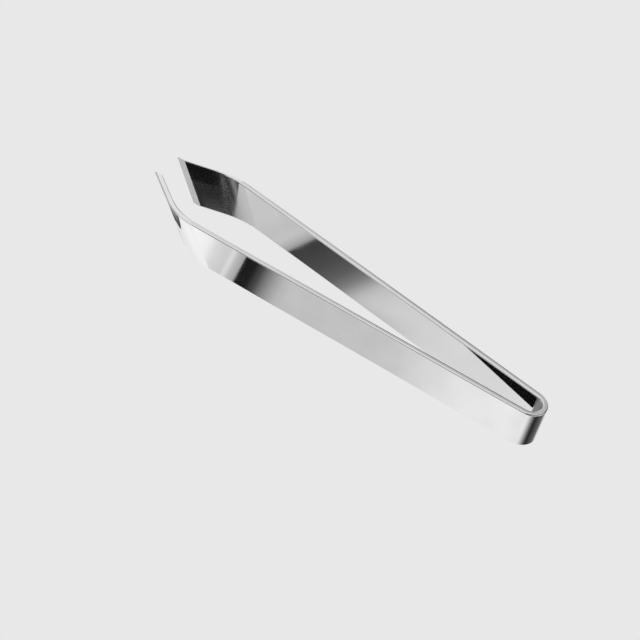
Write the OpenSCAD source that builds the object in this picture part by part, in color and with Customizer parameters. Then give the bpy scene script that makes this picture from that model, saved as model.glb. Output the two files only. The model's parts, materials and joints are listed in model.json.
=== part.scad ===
// One-piece spring tongs: a flat steel strip bent into a U, two splayed arms,
// and two slanted jaws folded inward about an oblique line and ground flat where they meet.
// The tongs stand on their long edges: X runs along them, Z is the strip width.

/* [Strip] */
// Width of the steel strip, the height of the tongs when they stand on edge
strip_width = 10.8; // [9:0.1:14]
// Thickness of the steel strip
strip_thickness = 1.5; // [1:0.05:1.8]
// Small chamfer along the long edges of the strip
edge_chamfer = 0.25; // [0.1:0.05:0.35]

/* [Spring bow] */
// Radius of the hollow inside the U-bend that acts as the spring
bow_inner_radius = 3; // [2:0.1:5]

/* [Arms] */
// Length of each straight arm along its top edge, from the bow to the fold
arm_length = 97.4; // [80:0.1:115]
// Angle each arm opens away from the middle plane
arm_splay = 4.6; // [4.2:0.1:7]

/* [Jaws] */
// Angle each jaw is folded inward from its arm
fold_angle = 44.5; // [36:0.5:50]
// Slant of the fold line away from square, top end leading
fold_slant = 35; // [20:0.5:40]
// Inner radius of the fold
fold_inner_radius = 10; // [6:0.1:12]
// Opening between the two ground gripping lands at rest
tip_gap = 9.4; // [4:0.1:10]

/* [Hidden] */
$fn = 96;
w = strip_width;
t = strip_thickness;
h = t / 2;
c = edge_chamfer;
// mid-surface radii
bow_r = bow_inner_radius + h;
fold_r = fold_inner_radius + h;
bow_x = -(bow_r + h);
hinge_x = bow_x + bow_r * sin(arm_splay);
hinge_y = bow_r * cos(arm_splay);
// rounded knuckle at each end of the bow, and its running clearance in the arm
knuckle_r = 0.74 * h;
hinge_clear = 0.03;
// gap between the end of the bow and the end of each arm, so that the arm can turn
end_gap = 0.05;
// each fold is made of short sectors, so its edges follow the helix of a real bent sheet
fold_steps = 8;
// the jaw begins halfway through the fold
half_steps = fold_steps / 2;
step_angle = fold_angle / fold_steps;
rise_per_degree = tan(fold_slant) * fold_r * PI / 180;
// how far the slanted fold runs back between the top edge and the bottom edge
fold_run = w * tan(fold_slant);
// unit vector along the jaw edge, written in the frame of its arm: forward, outward
jaw_fx = pow(sin(fold_slant), 2) + pow(cos(fold_slant), 2) * cos(fold_angle);
jaw_fy = -cos(fold_slant) * sin(fold_angle);
// forward and outward place of the outer top corner where the fold ends
outer_r = fold_r + h;
end_q = rise_per_degree * fold_angle;
end_x = arm_length + outer_r * sin(fold_angle) * cos(fold_slant) + end_q * sin(fold_slant);
end_y = -fold_r + outer_r * cos(fold_angle);
// the same in the part frame, forward measured from the hinge
end_off = end_x * sin(arm_splay) + end_y * cos(arm_splay);
jaw_off = jaw_fx * sin(arm_splay) + jaw_fy * cos(arm_splay);
jaw_length = (tip_gap / 2 - hinge_y - end_off) / jaw_off;
tip_x = end_x + jaw_fx * jaw_length;
tip_y = end_y + jaw_fy * jaw_length;
tip_run = tip_x * cos(arm_splay) - tip_y * sin(arm_splay);
tip_reach = norm([tip_run, tip_gap / 2 - hinge_y]);
// turn of each arm that brings its gripping land onto the middle plane
closing_angle = atan2(tip_gap / 2 - hinge_y, tip_run) + asin(hinge_y / tip_reach);
land_tilt = arm_splay - closing_angle;
// length from the back of the bow to the foremost point of the jaws
overall_length = tip_run - hinge_x - 0.8 * c * tan(fold_slant);
// small overlap between neighbouring steps of the fold
lap = 0.4;
big = 150;

steel = [0.78, 0.79, 0.80];
steel_dark = [0.66, 0.67, 0.69];

// strip section with chamfered edges: thickness along x, width along y from the top edge down
module strip_section(spare) {
    polygon([
        [-(h - c), 0],
        [h - c, 0],
        [h + spare, -(c + spare)],
        [h + spare, -(w - c - spare)],
        [h - c, -w],
        [-(h - c), -w],
        [-(h + spare), -(w - c - spare)],
        [-(h + spare), -(c + spare)]
    ]);
}

// straight run of strip: forward along x, outward along y, top edge at z = 0
module strip_run(from, to, spare) {
    translate([from, 0, 0])
        rotate([90, 0, 90])
            linear_extrude(to - from)
                strip_section(spare);
}

// moves the arm frame into the part, near side
module near_side() {
    translate([hinge_x, -hinge_y, 0])
        rotate([0, 0, 180 + arm_splay])
            children();
}

// everything under the plane the long edges stand on
module below_table() {
    translate([-big, -big, -2])
        cube([2 * big, 2 * big, 2]);
}

// puts the middle of the length at x = 0
module centred() {
    translate([overall_length / 2, 0, 0])
        children();
}

// frame of the fold after turning by a given angle; the sheet lies at y = fold_r
module fold_frame(turned) {
    translate([arm_length, -fold_r, w])
        rotate([0, fold_slant, 0])
            rotate([0, 0, -turned])
                children();
}

// wedge of space around the fold line, seen along it, measured back from the current turn
module fold_wedge(angle) {
    polygon([
        [0, 0],
        [0, 2 * fold_r],
        [-2 * fold_r * tan(angle), 2 * fold_r]
    ]);
}

// arc of the folded sheet seen along the fold line
module fold_arc(angle) {
    intersection() {
        difference() {
            circle(fold_r + h);
            circle(fold_r - h);
        }
        fold_wedge(angle);
    }
}

// flat sheet running back from the fold, with the first half of the fold
module arm_sheet() {
    fold_frame(0)
        translate([0, 0, -big])
            linear_extrude(2 * big)
                union() {
                    mirror([1, 0])
                        fold_arc(fold_angle / 2);
                    translate([-big, fold_r - h])
                        square([big, t]);
                }
}

// strip edges followed around one short step of the fold
module fold_trim(index) {
    middle = (index + 0.5) * step_angle;
    intersection() {
        fold_frame((index + 1) * step_angle + lap)
            translate([0, 0, -big])
                linear_extrude(2 * big)
                    fold_wedge(step_angle + 2 * lap);
        fold_frame(middle)
            translate([0, fold_r, rise_per_degree * middle])
                rotate([0, -fold_slant, 0])
                    strip_run(-(fold_run + 3), 3, 0.2);
    }
}

// straight arm and the first half of its fold
module arm_shape() {
    difference() {
        intersection() {
            arm_sheet();
            union() {
                intersection() {
                    translate([0, 0, w])
                        strip_run(end_gap, arm_length + 3, 0.2);
                    fold_frame(0)
                        translate([-big, 0, -big])
                            cube([big + 0.1, 2 * fold_r, 2 * big]);
                }
                for (i = [0 : half_steps - 1])
                    fold_trim(i);
            }
        }
        translate([0, 0, -1])
            cylinder(r = knuckle_r + hinge_clear, h = w + 2);
        below_table();
    }
}

// second half of the fold and the flat slanted jaw with its ground land
module jaw_shape() {
    difference() {
        intersection() {
            jaw_sheet();
            union() {
                intersection() {
                    fold_frame(fold_angle)
                        translate([0, fold_r, end_q])
                            rotate([0, -fold_slant, 0])
                                strip_run(-(fold_run + 3), jaw_length + 6, 0.2);
                    fold_frame(fold_angle)
                        translate([-0.1, 0, -big])
                            cube([big, 2 * fold_r, 2 * big]);
                }
                for (i = [half_steps : fold_steps - 1])
                    fold_trim(i);
            }
        }
        translate([tip_x, tip_y, 0])
            rotate([0, 0, -land_tilt])
                translate([-big, -2 * big, -big])
                    cube([2 * big, 2 * big, 2 * big]);
        below_table();
    }
}

// second half of the fold with the flat sheet running on from it
module jaw_sheet() {
    fold_frame(fold_angle)
        translate([0, 0, -big])
            linear_extrude(2 * big)
                union() {
                    fold_arc(fold_angle / 2);
                    translate([0, fold_r - h])
                        square([big, t]);
                }
}

module spring_bow() {
    color(steel)
        centred()
            union() {
                translate([bow_x, 0, w])
                    rotate([0, 0, -(90 - arm_splay)])
                        rotate_extrude(angle = 2 * (90 - arm_splay))
                            translate([bow_r, 0])
                                strip_section(0);
                for (side = [-1, 1])
                    translate([hinge_x, side * hinge_y, c])
                        cylinder(r = knuckle_r, h = w - 2 * c);
            }
}

module near_arm() {
    color(steel_dark)
        centred()
            near_side()
                arm_shape();
}

module far_arm() {
    color(steel_dark)
        centred()
            mirror([0, 1, 0])
                near_side()
                    arm_shape();
}

module near_jaw() {
    color(steel)
        centred()
            near_side()
                jaw_shape();
}

module far_jaw() {
    color(steel)
        centred()
            mirror([0, 1, 0])
                near_side()
                    jaw_shape();
}

spring_bow();
near_arm();
far_arm();
near_jaw();
far_jaw();
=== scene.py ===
import json
import math

import bpy
from mathutils import Matrix, Vector


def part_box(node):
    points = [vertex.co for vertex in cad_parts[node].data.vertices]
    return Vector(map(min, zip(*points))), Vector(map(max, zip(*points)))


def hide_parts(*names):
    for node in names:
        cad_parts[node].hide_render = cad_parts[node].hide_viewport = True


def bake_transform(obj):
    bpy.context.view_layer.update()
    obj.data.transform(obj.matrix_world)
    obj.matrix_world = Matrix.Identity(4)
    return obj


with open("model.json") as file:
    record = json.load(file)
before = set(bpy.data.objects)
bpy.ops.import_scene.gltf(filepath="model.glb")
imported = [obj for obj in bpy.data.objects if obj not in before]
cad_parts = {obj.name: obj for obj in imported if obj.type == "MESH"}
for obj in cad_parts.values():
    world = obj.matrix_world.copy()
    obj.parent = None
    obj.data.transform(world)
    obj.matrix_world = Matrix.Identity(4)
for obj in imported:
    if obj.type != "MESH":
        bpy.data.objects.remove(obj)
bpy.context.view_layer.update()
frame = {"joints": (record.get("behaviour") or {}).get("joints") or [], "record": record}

# Stamp tongs: one strip of polished spring steel, shown as two skins. Each runs unbroken from the back of the
# bow along an arm and round the slanted fold to the ground land. Sizes are in millimetres up to the mesh.
MM = 0.001

# The strip's driving sizes are those of the CAD part: the sheet's thickness, the arms' angle to the middle,
# an arm's length from hinge to fold along its top edge, and the fold's turn, its lean from upright and its
# radius to the middle of the sheet.
THICK = 1.5
SPLAY = math.radians(4.6)
ARM = 97.4
FOLD = math.radians(44.5)
SLANT = math.radians(35.0)
FOLD_R = 10.75
HALF = THICK / 2

# Roundings of the four long corners.
TOP_OUTER_R = 0.36
TOP_INNER_R = 0.42
LOW_INNER_R = 0.27
LOW_OUTER_R = 0.12

# The rest comes from the frame: the bow's height, the near hinge and the near ground land.
bow_low, bow_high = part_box("spring_bow")
WIDTH = (bow_high.z - bow_low.z) / MM
hinge = next(j for j in frame["joints"] if j["name"] == "near_squeeze")
HINGE_X, HINGE_Y = hinge["pos_m"][0] / MM, -hinge["pos_m"][1] / MM
BOW_R = HINGE_Y / math.cos(SPLAY)
BOW_X = HINGE_X - BOW_R * math.sin(SPLAY)
land = next(m for m in frame["record"]["mounts"] if m["name"] == "near_land")
LAND_POINT = Vector(land["pos_m"]) / MM
LAND_NORMAL = Vector(land["axis"])

# How finely the skin is divided.
CORNER_STEPS = 6
BOW_STEPS = 60
FOLD_STEPS = 64
HINGE_FIRST = 0.05
HINGE_PITCH = 0.25
HINGE_ROWS = 32
ARM_ROWS = 24
JAW_ROWS = (0.008, 0.25, 0.5, 0.75, 1.0)
# A point this close to a rounding or a bend keeps the flat beside it flat.
GUARD = 0.08
# A flat of the section wider than this is divided too, at these shares of its width.
WIDE = 2.0
WIDE_SHARES = (0.25, 0.5, 0.75)
# A face of the section belongs to the sheet's outer or inner side if its middle is this close to it.
CLOSE = 0.02

# Distances used only for laying out the finish: along a jaw, and for the two cut ends.
JAW_RUN = 10.0
END_STRETCH = 3.0
END_OFFSET = 200.0


# ---------------------------------------------------------------- strip surface
def bow_point(turn, off, height):
    """A point of the near half of the U-bend; turn is the angle from the back of the bow."""
    r = BOW_R + off
    return Vector((BOW_X + r * math.cos(turn), -r * math.sin(turn), height))


BOW_TURN = math.pi / 2 - SPLAY
BOW_ARC = BOW_R * BOW_TURN
HINGE = bow_point(BOW_TURN, 0.0, 0.0)
FORWARD = Vector((-math.cos(SPLAY), -math.sin(SPLAY), 0.0))
OUTWARD = Vector((math.sin(SPLAY), -math.cos(SPLAY), 0.0))
UP = Vector((0.0, 0.0, 1.0))
FOLD_ACROSS = FORWARD * math.cos(SLANT) - UP * math.sin(SLANT)
FOLD_ALONG = FORWARD * math.sin(SLANT) + UP * math.cos(SLANT)
FOLD_TOP = HINGE + FORWARD * ARM + UP * WIDTH
JAW_ACROSS = FOLD_ACROSS * math.cos(FOLD) - OUTWARD * math.sin(FOLD)
JAW_FORWARD = FOLD_ALONG * math.sin(SLANT) + JAW_ACROSS * math.cos(SLANT)


def arm_point(run, off, height):
    """A point of the near arm, at a distance from the hinge."""
    return HINGE + FORWARD * run + UP * height + OUTWARD * off


def fold_start(height):
    """Distance from the hinge at which the slanted fold begins, at this height."""
    return ARM - (WIDTH - height) * math.tan(SLANT)


def fold_point(turn, off, height):
    """A point in the fold; the sheet's edges rise with the turn as a bent sheet's do."""
    along = math.sin(SLANT) * (fold_start(height) - ARM) + math.cos(SLANT) * (height - WIDTH)
    along += math.tan(SLANT) * FOLD_R * turn
    r = FOLD_R + off
    across = FOLD_ACROSS * (r * math.sin(turn)) + OUTWARD * (r * math.cos(turn) - FOLD_R)
    return FOLD_TOP + FOLD_ALONG * along + across


def jaw_point(share, off, height):
    """A point of the flat jaw, at a share of the way from the end of the fold to the ground land."""
    start = fold_point(FOLD, off, height)
    reach = (LAND_POINT - start).dot(LAND_NORMAL) / JAW_FORWARD.dot(LAND_NORMAL)
    return start + JAW_FORWARD * (share * reach)


# ---------------------------------------------------------------- mesh of one side
def section():
    """The strip's rounded section, once round, as (off, height)."""
    corners = (
        (HALF - TOP_OUTER_R, WIDTH - TOP_OUTER_R, TOP_OUTER_R),
        (TOP_INNER_R - HALF, WIDTH - TOP_INNER_R, TOP_INNER_R),
        (LOW_INNER_R - HALF, LOW_INNER_R, LOW_INNER_R),
        (HALF - LOW_OUTER_R, LOW_OUTER_R, LOW_OUTER_R),
    )
    arcs = []
    for quarter, (cx, cy, r) in enumerate(corners):
        angles = [math.radians(90 * (quarter + i / CORNER_STEPS)) for i in range(CORNER_STEPS + 1)]
        arcs.append([(cx + r * math.cos(a), cy + r * math.sin(a)) for a in angles])
    loop = []
    for arc, following in zip(arcs, arcs[1:] + arcs[:1]):
        last = Vector(arc[-1])
        flat = Vector(following[0]) - last
        marks = [GUARD / flat.length, 1 - GUARD / flat.length]
        if flat.length > WIDE:
            marks[1:1] = WIDE_SHARES
        loop.extend(arc)
        loop.extend(tuple(last + flat * mark) for mark in marks)
    return loop


def stations():
    """Rows along the strip: a point from (off, height), the distance along it from height, its bend.

    The bend is 0 up to the fold, grows to 1 round the fold, and goes on to 2 along the jaw.
    """
    rows = []

    def add_arm_row(run):
        rows.append((lambda o, h: arm_point(run(h), o, h), lambda h: BOW_ARC + run(h), 0.0))

    for i in range(BOW_STEPS + 1):
        turn = BOW_TURN * i / BOW_STEPS
        rows.append((lambda o, h, t=turn: bow_point(t, o, h), lambda h, t=turn: BOW_R * t, 0.0))
    # close rows by the hinge, where the squeeze bends the strip
    near_hinge = HINGE_PITCH * HINGE_ROWS
    for run in [HINGE_FIRST] + [HINGE_PITCH * i for i in range(1, HINGE_ROWS + 1)]:
        add_arm_row(lambda h, r=run: r)
    for i in range(1, ARM_ROWS):
        add_arm_row(lambda h, s=i / ARM_ROWS: near_hinge + s * (fold_start(h) - near_hinge))
    add_arm_row(lambda h: fold_start(h) - GUARD)
    for i in range(FOLD_STEPS + 1):
        turn = FOLD * i / FOLD_STEPS
        rows.append((
            lambda o, h, t=turn: fold_point(t, o, h),
            lambda h, t=turn: BOW_ARC + fold_start(h) + FOLD_R * t / math.cos(SLANT),
            turn / FOLD,
        ))
    fold_run = FOLD_R * FOLD / math.cos(SLANT)
    for share in JAW_ROWS:
        rows.append((
            lambda o, h, s=share: jaw_point(s, o, h),
            lambda h, s=share: BOW_ARC + fold_start(h) + fold_run + JAW_RUN * s,
            1.0 + share,
        ))
    return rows


def face_kind(off):
    """The finish of a face by how far it is from the middle of the sheet."""
    if off > HALF - CLOSE:
        return OUTER
    if off < CLOSE - HALF:
        return INNER
    return EDGE


def build_side(name, mirror):
    """The skin of one side; the far side is the near one mirrored."""
    loop = section()
    rows = stations()
    count = len(loop)
    flip = -1.0 if mirror else 1.0
    verts = []
    for place, _, _ in rows:
        for off, height in loop:
            p = place(off, height)
            verts.append((p.x * MM, flip * p.y * MM, max(p.z, 0.0) * MM))
    round_it = [0.0]
    for a, b in zip(loop, loop[1:] + loop[:1]):
        round_it.append(round_it[-1] + math.dist(a, b))
    along = [[distance(height) for _, height in loop] for _, distance, _ in rows]
    faces, layout, kinds = [], [], []

    def add_face(corners, places, kind):
        faces.append(corners[::-1] if mirror else corners)
        layout.extend(places[::-1] if mirror else places)
        kinds.append(kind)

    for r in range(len(rows) - 1):
        here, there = r * count, (r + 1) * count
        for i in range(count):
            j = (i + 1) % count
            add_face(
                [here + i, here + j, there + j, there + i],
                [
                    (along[r][i], round_it[i]),
                    (along[r][j], round_it[i + 1]),
                    (along[r + 1][j], round_it[i + 1]),
                    (along[r + 1][i], round_it[i]),
                ],
                face_kind((loop[i][0] + loop[j][0]) / 2),
            )
    # the cut at the back of the bow and the ground land
    end_row = (len(rows) - 1) * count
    cuts = (
        (list(reversed(range(count))), EDGE),
        (list(range(end_row, end_row + count)), LAND),
    )
    for ring, kind in cuts:
        places = [loop[k % count] for k in ring]
        add_face(ring, [(off * END_STRETCH + END_OFFSET, height) for off, height in places], kind)

    mesh = bpy.data.meshes.new(name)
    mesh.from_pydata(verts, [], faces)
    mesh.update()
    strip = mesh.uv_layers.new(name="strip")
    strip.data.foreach_set("uv", [value * MM for place in layout for value in place])
    bend = mesh.attributes.new("bend", "FLOAT", "POINT")
    bend.data.foreach_set("value", [row[2] for row in rows for _ in loop])
    for finish in FINISHES:
        mesh.materials.append(finish)
    for face, kind in zip(mesh.polygons, kinds):
        face.material_index = kind
        face.use_smooth = True
    sharp = {frozenset(pair) for ring, _ in cuts for pair in zip(ring, ring[1:] + ring[:1])}
    for edge in mesh.edges:
        if frozenset(edge.vertices) in sharp:
            edge.use_edge_sharp = True
    side = bpy.data.objects.new(name, mesh)
    bpy.context.scene.collection.objects.link(side)
    return side


# ---------------------------------------------------------------- nodes
def add(tree, kind, inputs=None, **settings):
    """A new node with its settings; each input is a value or the output of another node."""
    made = tree.nodes.new("ShaderNode" + kind)
    for name, value in settings.items():
        setattr(made, name, value)
    for name, value in (inputs or {}).items():
        if isinstance(value, bpy.types.NodeSocket):
            tree.links.new(value, made.inputs[name])
        else:
            made.inputs[name].default_value = value
    return made


def calc(tree, operation, *values):
    """The result of a Math node."""
    return add(tree, "Math", dict(enumerate(values)), operation=operation).outputs[0]


def fit(tree, value, first, last, start=0.0, end=1.0, **settings):
    """A value between first and last, carried over to between start and end."""
    limits = {"From Min": first, "From Max": last, "To Min": start, "To Max": end, "Value": value}
    return add(tree, "MapRange", limits, **settings).outputs["Result"]


def levels(tree, value, first, last, stops, interpolation="LINEAR"):
    """A run of brightness: (where, brightness) stops along a value from first to last."""
    shades = add(tree, "ValToRGB", {"Fac": fit(tree, value, first, last)})
    shades.color_ramp.interpolation = interpolation
    ends = shades.color_ramp.elements
    for k, (where, shade) in enumerate(stops):
        position = (where - first) / (last - first)
        stop = ends[k] if k < 2 else ends.new(position)
        stop.position = position
        stop.color = (shade, shade, shade, 1.0)
    return add(tree, "SeparateColor", {"Color": shades.outputs["Color"]}).outputs[0]


# ---------------------------------------------------------------- materials
# Scratches run between cells, which are counted per metre along the strip and round it.
SCRATCH_CELLS = (110.0, 520.0, 1.0)
SCRATCH_SLANT = math.radians(14)
SCRATCH_WIDTH = 0.016
PATCH_SCALE = 2.3
PATCH_LEVEL = 0.64

# The spans of noise over which roughness and colour go from one end of their range to the other.
DULL_SPAN = (0.15, 0.42)
TINT_SPAN = (0.3, 0.75)
# The depth of the lines in metres, before each finish's own strength.
LINE_DEPTH = 0.00002


def scratches(tree, uv):
    """1 on a few hair-fine handling scratches, 0 elsewhere: cell borders kept only in patches."""
    slanted = add(tree, "Mapping", {
        "Vector": uv,
        "Scale": SCRATCH_CELLS,
        "Rotation": (0.0, 0.0, SCRATCH_SLANT),
    }).outputs["Vector"]
    cells = add(tree, "TexVoronoi", {"Vector": slanted, "Scale": 1.0}, feature="DISTANCE_TO_EDGE")
    patches = add(tree, "TexNoise", {"Vector": slanted, "Scale": PATCH_SCALE})
    thin = calc(tree, "LESS_THAN", cells.outputs["Distance"], SCRATCH_WIDTH)
    kept = calc(tree, "GREATER_THAN", patches.outputs["Fac"], PATCH_LEVEL)
    return calc(tree, "MULTIPLY", thin, kept)


def bend_dulling(tree):
    """1 on the dulled inside of the fold, a little less along the jaw, 0 on the arm and bow."""
    bend = add(tree, "Attribute", attribute_name="bend").outputs["Fac"]
    return levels(tree, bend, 0.0, 2.0, [(0.30, 0.0), (0.60, 1.0), (0.92, 1.0), (1.20, 0.6)], "EASE")


def steel(name, colour, roughness, line_scale, line_bump, smear, haze=0.96, satin=0.0, scratched=0.0):
    """Steel with fine lines along or across it, and smears that vary its shine and colour.

    roughness is (least, most). line_scale and smear are the scales of the lines and the smears, and haze
    is the brightness of the haziest smear. satin and scratched are the roughness that bending and
    scratches add.
    """
    mat = bpy.data.materials.new(name)
    mat.use_nodes = True
    tree = mat.node_tree
    bsdf = tree.nodes.get("Principled BSDF")
    uv = add(tree, "UVMap", uv_map="strip").outputs["UV"]
    stretch = add(tree, "Mapping", {"Vector": uv, "Scale": line_scale}).outputs["Vector"]
    lines = add(tree, "TexNoise", {"Vector": stretch, "Scale": 1.0, "Detail": 5.0, "Roughness": 0.6})
    where = add(tree, "TexCoord").outputs["Object"]
    smears = add(tree, "TexNoise", {"Vector": where, "Scale": smear, "Detail": 3.0})
    both = calc(tree, "MULTIPLY", lines.outputs["Fac"], smears.outputs["Fac"])
    rough = fit(tree, both, *DULL_SPAN, *roughness)
    if satin:
        rough = calc(tree, "MULTIPLY_ADD", bend_dulling(tree), satin, rough)
    if scratched:
        rough = calc(tree, "MULTIPLY_ADD", scratches(tree, uv), scratched, rough)
    tint = add(tree, "ValToRGB", {"Fac": smears.outputs["Fac"]})
    hazy, clean = tint.color_ramp.elements
    hazy.position, clean.position = TINT_SPAN
    hazy.color = [c * haze for c in colour] + [1.0]
    clean.color = list(colour) + [1.0]
    relief = {"Strength": line_bump, "Distance": LINE_DEPTH, "Height": lines.outputs["Fac"]}
    bump = add(tree, "Bump", relief)
    tree.links.new(rough, bsdf.inputs["Roughness"])
    tree.links.new(tint.outputs["Color"], bsdf.inputs["Base Color"])
    tree.links.new(bump.outputs["Normal"], bsdf.inputs["Normal"])
    bsdf.inputs["Metallic"].default_value = 1.0
    return mat


# Noise scales along the strip and round it: polishing and brushing run along it, grinding across the lands.
POLISHED = (60.0, 4000.0, 1.0)
BRUSHED = (200.0, 6000.0, 1.0)
GROUND = (9000.0, 300.0, 1.0)
OUTER, INNER, EDGE, LAND = range(4)
FINISHES = (
    steel(
        "polished_outer", (0.93, 0.93, 0.935), (0.012, 0.026), POLISHED, 0.006, 160.0,
        haze=0.93, scratched=0.03,
    ),
    # painted shade: the inner faces of the same polished sheet get a darker steel colour than the outer
    # faces, standing in for the darkness seen between the two arms
    steel("polished_inner_painted_shade", (0.73, 0.73, 0.735), (0.020, 0.036), POLISHED, 0.006, 160.0, satin=0.13),
    steel("polished_edge", (0.82, 0.82, 0.825), (0.08, 0.14), BRUSHED, 0.08, 260.0),
    steel("ground_land", (0.72, 0.72, 0.73), (0.22, 0.36), GROUND, 0.4, 300.0),
)

# ---------------------------------------------------------------- the two sides
near = build_side("near_side_strip", False)
far = build_side("far_side_strip", True)
for obj, side, sign in ((near, "near", -1.0), (far, "far", 1.0)):
    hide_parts("spring_bow", side + "_arm", side + "_jaw")
    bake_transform(obj)

# ---------------------------------------------------------------- floor
# A pale floor that meets the backdrop unseen. The steel shows the studio's sheet in its place.
PALE = 0.807
PALE_COLOUR = (PALE, PALE, PALE, 1.0)
FLOOR_HALF = 6.0
FLOOR_DROP = 0.0002

pale_floor = bpy.data.materials.new("pale_floor")
pale_floor.use_nodes = True
paint = pale_floor.node_tree
paint.nodes.clear()
glow = add(paint, "Emission", {"Color": PALE_COLOUR})
add(paint, "OutputMaterial", {"Surface": glow.outputs["Emission"]})

floor_mesh = bpy.data.meshes.new("floor")
floor_corners = [(x * FLOOR_HALF, y * FLOOR_HALF, 0) for x, y in ((-1, -1), (1, -1), (1, 1), (-1, 1))]
floor_mesh.from_pydata(floor_corners, [], [(0, 1, 2, 3)])
floor_mesh.materials.append(pale_floor)
floor = bpy.data.objects.new("floor", floor_mesh)
floor.location.z = -FLOOR_DROP
floor.visible_glossy = False
bpy.context.scene.collection.objects.link(floor)

# ---------------------------------------------------------------- studio
# The steel shows only what stands round it, so the studio is a white sheet, a dark horizon and a white
# ceiling, with light and dark cards between them. Each has a place by bearing and height, in degrees.
world = bpy.data.worlds.new("studio")
world.use_nodes = True
bpy.context.scene.world = world
sky = world.node_tree
sky.nodes.clear()

direction = add(sky, "TexCoord").outputs["Generated"]
dx, dy, dz = add(sky, "SeparateXYZ", {0: direction}).outputs
DEGREE = 180 / math.pi
# 0 in front (-Y), growing towards the jaws (-X)
ahead = calc(sky, "MULTIPLY", dy, -1.0)
bearing = calc(sky, "MULTIPLY", calc(sky, "ARCTAN2", calc(sky, "MULTIPLY", dx, -1.0), ahead), DEGREE)
# above the level of the tongs
height = calc(sky, "MULTIPLY", calc(sky, "ARCSINE", dz), DEGREE)


def ramp(value, outside, inside):
    """0 outside, 1 inside, smooth between them; either may be the greater."""
    if outside < inside:
        return fit(sky, value, outside, inside, interpolation_type="SMOOTHSTEP")
    return fit(sky, value, inside, outside, 1.0, 0.0, interpolation_type="SMOOTHSTEP")


def window(across, left, right, bottom, top):
    """1 inside a card, 0 outside; each limit is (outside, inside) of its soft edge."""
    sideways = calc(sky, "MULTIPLY", ramp(across, *left), ramp(across, *right))
    upright = calc(sky, "MULTIPLY", ramp(height, *bottom), ramp(height, *top))
    return calc(sky, "MULTIPLY", sideways, upright)


def over(base, level, mask):
    """base where mask is 0, level where mask is 1."""
    keep = calc(sky, "SUBTRACT", 1.0, mask)
    return calc(sky, "ADD", calc(sky, "MULTIPLY", base, keep), calc(sky, "MULTIPLY", level, mask))


def lay(base, cards):
    """Plain cards laid over a base in turn: (brightness, left, right, bottom, top), as in window()."""
    for brightness, *limits in cards:
        base = over(base, brightness, window(bearing, *limits))
    return base


def leaning(lean, at):
    """Bearing for a card whose sides lean: it is true at the height `at`."""
    return calc(sky, "ADD", bearing, calc(sky, "MULTIPLY", calc(sky, "SUBTRACT", height, at), lean))


# the white sheet under and round the tongs, darker at the right hand and behind
sheet = levels(sky, bearing, -180, 180, [
    (-180, 0.66), (-162, 0.66), (-152, 0.33), (-140, 0.15), (-110, 0.07), (-88, 0.02), (-80, 0.045),
    (-72, 0.12), (-60, 0.33), (-50, 0.55), (-40, 0.79), (-32, 0.87), (4, 0.86), (6.5, 0.91),
    (8.5, 0.84), (12, 0.60), (17, 0.58), (19.5, 0.60), (22, 0.98), (55, 0.95), (75, 0.90),
    (100, 0.86), (150, 0.84), (180, 0.66),
])
rise = levels(sky, height, -90, 0, [(-90, 1.0), (-38, 1.0), (-15, 0.75), (0, 0.60)])
below = calc(sky, "MULTIPLY", sheet, rise)

# round the sides and back, tall light and grey cards stand on the sheet
tall = levels(sky, bearing, -180, 180, [
    (-180, 0.80), (-165, 0.55), (-150, 0.80), (-138, 0.30), (-130, 0.18), (-122, 0.75), (-110, 0.90),
    (-95, 0.50), (-84, 0.20), (-74, 0.70), (-60, 0.85), (60, 0.80), (72, 0.75), (84, 0.25),
    (92, 0.60), (108, 0.90), (118, 0.70), (125, 0.20), (132, 0.25), (142, 0.95), (156, 0.95),
    (165, 0.55), (180, 0.80),
])
front = calc(sky, "MULTIPLY", ramp(bearing, -75, -60), ramp(bearing, 85, 70))
sides_and_back = calc(sky, "SUBTRACT", 1.0, front)
below = over(below, tall, calc(sky, "MULTIPLY", sides_and_back, ramp(height, -40.5, -34)))

# in front the sheet falls away evenly towards the horizon
slope = levels(sky, height, -45, 5, [
    (-45, 0.80), (-39, 0.76), (-32, 0.69), (-23, 0.66), (-14, 0.58), (-5, 0.50), (5, 0.40),
])
below = over(below, slope, window(bearing, (-60, -30), (75, 55), (-38.6, -37.6), (20, 10)))

# a black card with one crisp side, seen in the inside of the far arm
across = leaning(1.57, -40.1)
shade = levels(sky, across, 14, 42, [
    (14, 0.86), (18.5, 0.88), (21.0, 0.93), (24.0, 0.93), (26.0, 0.89), (28.5, 0.86), (29.5, 0.80),
    (30.1, 0.74), (30.5, 0.66), (30.9, 0.51), (31.3, 0.35), (31.7, 0.25), (32.5, 0.145), (33.5, 0.10),
    (34.6, 0.075), (35.55, 0.045), (35.65, 0.46), (36.5, 0.76), (37.3, 0.72), (38.5, 0.78),
    (42.0, 0.78),
])
below = over(below, shade, window(across, (14.0, 18.0), (42.0, 40.0), (-44.5, -42.5), (-37.6, -38.6)))

# another, seen in the outside of the near arm, with a thin light line beside it
across = leaning(0.37, -41.5)
shade = levels(sky, across, 16, 24, [
    (16.0, 0.58), (17.1, 0.58), (17.6, 0.51), (18.0, 0.39), (18.4, 0.235), (18.8, 0.075),
    (19.2, 0.016), (19.81, 0.011), (19.85, 0.42), (20.2, 0.54), (20.46, 0.80), (20.62, 0.65),
    (21.0, 0.69), (21.35, 0.77), (21.75, 0.95), (22.2, 0.98), (24.0, 0.97),
])
below = over(below, shade, window(across, (15.5, 16.5), (25.0, 23.0), (-62, -55), (-35, -37)))

# a black card behind, seen twice over in the inside of the far arm near the bow
below = lay(below, [(0.008, (142.0, 143.2), (152, 149), (-60, -52), (-41.3, -41.7))])

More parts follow.
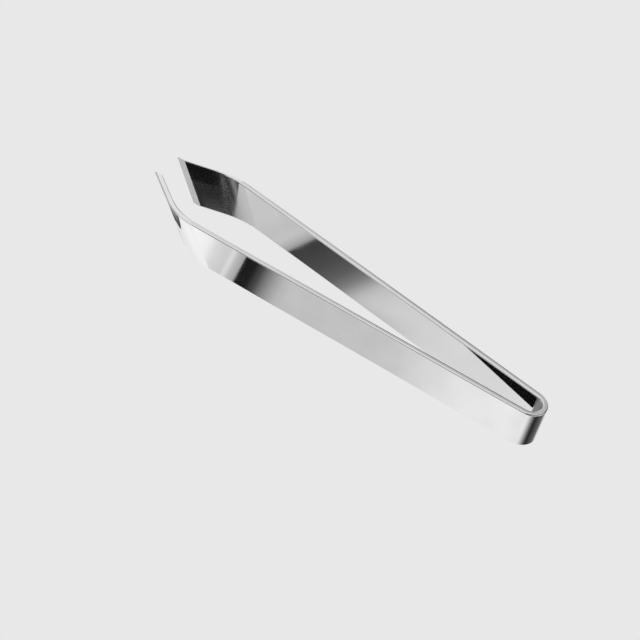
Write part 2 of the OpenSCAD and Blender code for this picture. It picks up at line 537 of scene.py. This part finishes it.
# a dark card whose lower side is a parabola, seen at the bend of the near jaw
past = calc(sky, "SUBTRACT", bearing, 92)
straight = calc(sky, "MULTIPLY", past, 0.0315)
curve = calc(sky, "MULTIPLY", calc(sky, "MULTIPLY", past, past), 0.0039)
lower_side = calc(sky, "ADD", straight, curve)
above_side = calc(sky, "SUBTRACT", calc(sky, "ADD", height, 54.17), lower_side)
shade = levels(sky, above_side, 0, 0.6, [(0, 0.03), (0.15, 0.06), (0.4, 0.19), (0.6, 0.25)])
around = window(bearing, (70, 78), (146, 141), (-56, -55), (-38, -41))
below = over(below, shade, calc(sky, "MULTIPLY", ramp(above_side, -0.04, 0.04), around))

below = lay(below, [
    # a grey card that shades the hollow of the bow
    (0.28, (28, 36), (112, 98), (-44.7, -43.9), (-41.4, -42.2)),
    # light and dark cards low in front, seen in the rounded edges of the near arm
    (0.70, (15.0, 16.5), (50, 38), (-34, -30), (-8, -14)),
    (0.02, (9.0, 10.5), (15.8, 14.6), (-19, -13), (20, 10)),
    (0.02, (12.5, 13.5), (18.5, 17.0), (-22.5, -20.0), (-6, -10)),
    # the foot of a black card, seen in the inside of the far jaw
    (0.02, (-49, -43), (-21, -27), (-18, -10), (20, 10)),
])

# dark room at the horizon, white light overhead, dimmer behind
overhead = levels(sky, height, 0, 90, [
    (0, 0.10), (12, 0.10), (22, 0.30), (30, 0.80), (48, 0.92), (90, 0.95),
])
dim = levels(sky, bearing, -180, 180, [
    (-180, 0.55), (-150, 0.70), (-110, 1.0), (146, 1.0), (149.5, 0.85), (153, 0.76), (158, 0.68),
    (166, 0.60), (180, 0.55),
])
above = calc(sky, "MULTIPLY", overhead, over(dim, 1.0, ramp(height, 43.5, 48)))
above = lay(above, [
    # a softer light high in front
    (0.72, (-100, -70), (75, 62), (34, 46), (80, 72)),
    # behind, side by side: white, black, light and grey
    (0.95, (138, 145), (161, 157), (-3, -1), (34, 30)),
    (0.07, (157, 161), (172, 169), (-3, -1), (41.0, 37.5)),
    (0.62, (169, 173), (182, 181), (-3, -1), (44, 38)),
    (0.30, (-182, -181), (-160, -172), (-3, -1), (44, 38)),
    # a grey card low at the left
    (0.50, (48, 60), (92, 82), (-12, -6), (50, 44)),
    # light and grey cards in front and at the right
    (0.82, (15.0, 16.5), (52, 40), (-3, -1), (50, 44)),
    (0.28, (-10, -6), (4, 2), (-8, -6), (40, 34)),
    (0.55, (-106, -100), (-44, -48), (-8, -6), (38, 32)),
    # the low dark card in front, carried up
    (0.02, (9.0, 10.5), (15.5, 14.0), (-8, -6), (18, 6)),
    # black cards at the right, seen in the inside and the top of the far jaw
    (0.05, (-168, -158), (-5, -22), (38, 46), (80, 74)),
    (0.05, (-49, -43), (-5, -22), (11, 17), (48, 40)),
    (0.04, (-166, -160), (-112, -150), (-3, -1), (47, 41)),
    (0.008, (-49, -43), (-20, -28), (-3, -1), (42, 30)),
])
# the middle of the ceiling is grey, so that the edges stand out from straight above
above = over(above, 0.42, ramp(height, 79, 83))
level = over(below, above, ramp(height, -6, 0))

# the steel sees the studio, and the camera sees a plain pale backdrop
studio = add(sky, "Background", {"Color": level})
backdrop = add(sky, "Background", {"Color": PALE_COLOUR})
from_camera = add(sky, "LightPath").outputs["Is Camera Ray"]
pick = add(sky, "MixShader", {"Fac": from_camera, 1: studio.outputs[0], 2: backdrop.outputs[0]})
add(sky, "OutputWorld", {"Surface": pick.outputs[0]})

# ---------------------------------------------------------------- camera
AZIMUTH = math.radians(24.70)
ELEVATION = math.radians(42.54)
ROLL = math.radians(15.82)
TARGET = Vector((0.00258, -0.01568, 0.01059))
DISTANCE = 0.3966
LENS = 90.64
SENSOR = 36.0

cam_data = bpy.data.cameras.new("camera")
cam_data.sensor_width = SENSOR
cam_data.lens = LENS
cam_data.clip_start = 0.01
cam_data.clip_end = 50.0
level_back = Vector((math.sin(AZIMUTH), -math.cos(AZIMUTH), 0.0))
back = level_back * math.cos(ELEVATION) + UP * math.sin(ELEVATION)
level_right = Vector((math.cos(AZIMUTH), math.sin(AZIMUTH), 0.0))
upright = back.cross(level_right)
right = level_right * math.cos(ROLL) + upright * math.sin(ROLL)
up = upright * math.cos(ROLL) - level_right * math.sin(ROLL)
turned = Matrix((right, up, back)).transposed().to_4x4()
cam = bpy.data.objects.new("camera", cam_data)
cam.matrix_world = Matrix.Translation(TARGET + back * DISTANCE) @ turned
bpy.context.scene.collection.objects.link(cam)
bpy.context.scene.camera = cam

# light bounces many times between the two polished sides
BOUNCES = 16
bpy.context.scene.cycles.max_bounces = BOUNCES
bpy.context.scene.cycles.glossy_bounces = BOUNCES
bpy.context.scene.view_settings.view_transform = "Standard"
bpy.context.scene.view_settings.look = "None"
